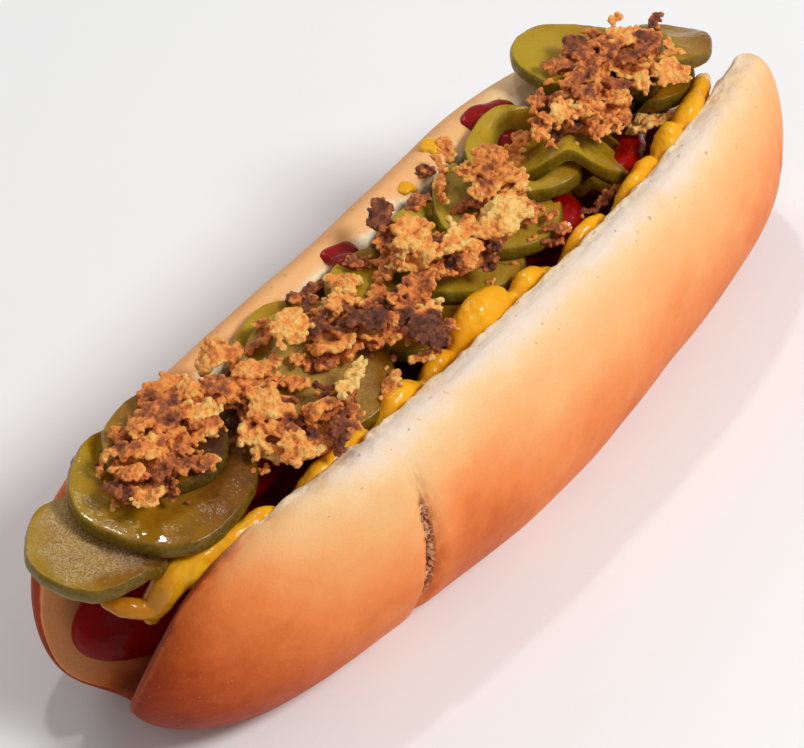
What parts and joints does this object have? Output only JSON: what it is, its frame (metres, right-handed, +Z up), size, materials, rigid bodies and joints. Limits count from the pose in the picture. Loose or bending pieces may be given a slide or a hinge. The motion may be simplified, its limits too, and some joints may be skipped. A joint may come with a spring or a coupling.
{
  "type": "hot dog",
  "caption": "Split soft roll holding a sausage, with mustard, ketchup, pickle slices and crisp fried onion flakes along its open top.",
  "frame": {"origin": "under the middle of the roll, on the surface that it rests on", "axes": "+X along the roll, away from its open near end; +Z up; the right wall of the roll, seen from the near end, is at -Y"},
  "size_m": [0.184, 0.061, 0.054],
  "materials": {
    "roll": "soft baked bread crust, golden to brown, pale at the lips",
    "sausage": "glossy smoked sausage skin",
    "mustard": "glossy smooth yellow mustard",
    "ketchup": "glossy tomato ketchup",
    "pickle": "wet translucent pickled cucumber with a darker rind",
    "onion": "crisp fried onion flakes, golden to dark brown"
  },
  "bodies": {
    "root": {"roll": "roll", "sausage": "sausage", "mustard": "mustard", "ketchup": "ketchup", "pickle_01": "pickle", "pickle_02": "pickle", "pickle_03": "pickle", "pickle_04": "pickle", "pickle_05": "pickle", "pickle_06": "pickle", "pickle_07": "pickle", "pickle_08": "pickle", "pickle_09": "pickle", "pickle_10": "pickle", "pickle_11": "pickle", "pickle_12": "pickle", "pickle_13": "pickle", "pickle_14": "pickle", "pickle_15": "pickle", "pickle_16": "pickle", "pickle_17": "pickle", "onions_1": "onion", "onions_2": "onion", "onions_3": "onion", "onions_4": "onion", "onions_5": "onion"}
  },
  "joints": []
}
